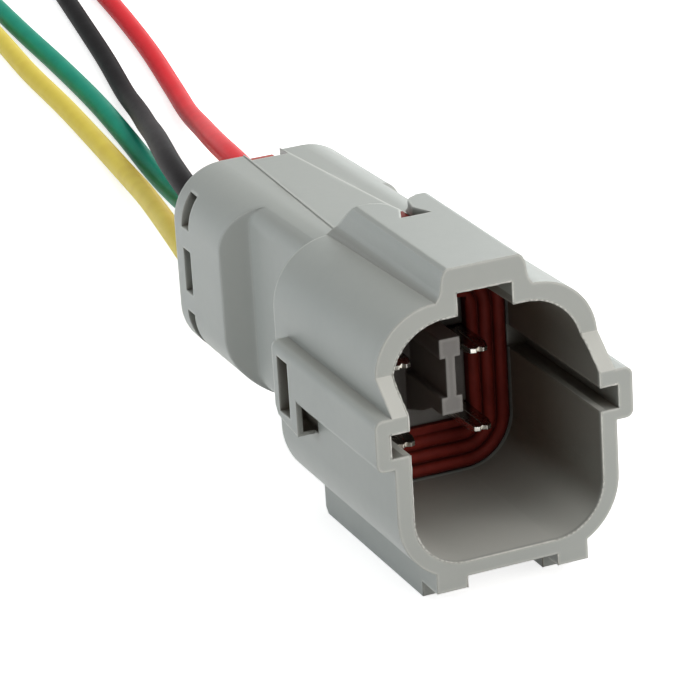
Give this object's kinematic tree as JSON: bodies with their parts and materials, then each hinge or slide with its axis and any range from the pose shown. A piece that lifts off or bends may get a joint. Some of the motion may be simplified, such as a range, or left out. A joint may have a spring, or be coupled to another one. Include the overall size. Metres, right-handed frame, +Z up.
{
  "type": "sealed automotive connector",
  "caption": "Sealed wire-to-wire connector: keyed open hood with blade contacts, ribbed seals, side guides and latch bridge, on a barrel with colour-coded leads.",
  "frame": {"origin": "under the middle of the housing, on the plane its two rails stand on", "axes": "+Z up through the latch bridge, -Y out of the mating mouth, +X to the right as seen from the mouth"},
  "size_m": [0.0534, 0.2327, 0.0327],
  "materials": {
    "housing_plastic": "moulded light grey plastic, satin",
    "seal_rubber": "dark red silicone",
    "holder_plastic": "moulded grey plastic",
    "mat_rubber": "orange-red silicone",
    "cover_plastic": "moulded grey plastic",
    "contact_metal": "tin-plated strip",
    "black_insulation": "soft extruded insulation",
    "red_insulation": "soft extruded insulation",
    "yellow_insulation": "soft extruded insulation",
    "green_insulation": "soft extruded insulation",
    "copper": "stranded bare copper"
  },
  "bodies": {
    "root": {"housing": "housing_plastic", "interface_seal": "seal_rubber", "front_holder": "holder_plastic", "wire_seal": "mat_rubber", "rear_cover": "cover_plastic", "terminal_upper_left": "contact_metal", "terminal_upper_right": "contact_metal", "terminal_lower_left": "contact_metal", "terminal_lower_right": "contact_metal", "lead_black": "black_insulation", "lead_red": "red_insulation", "lead_yellow": "yellow_insulation", "lead_green": "green_insulation", "core_black": "copper", "core_red": "copper", "core_yellow": "copper", "core_green": "copper"}
  },
  "joints": []
}
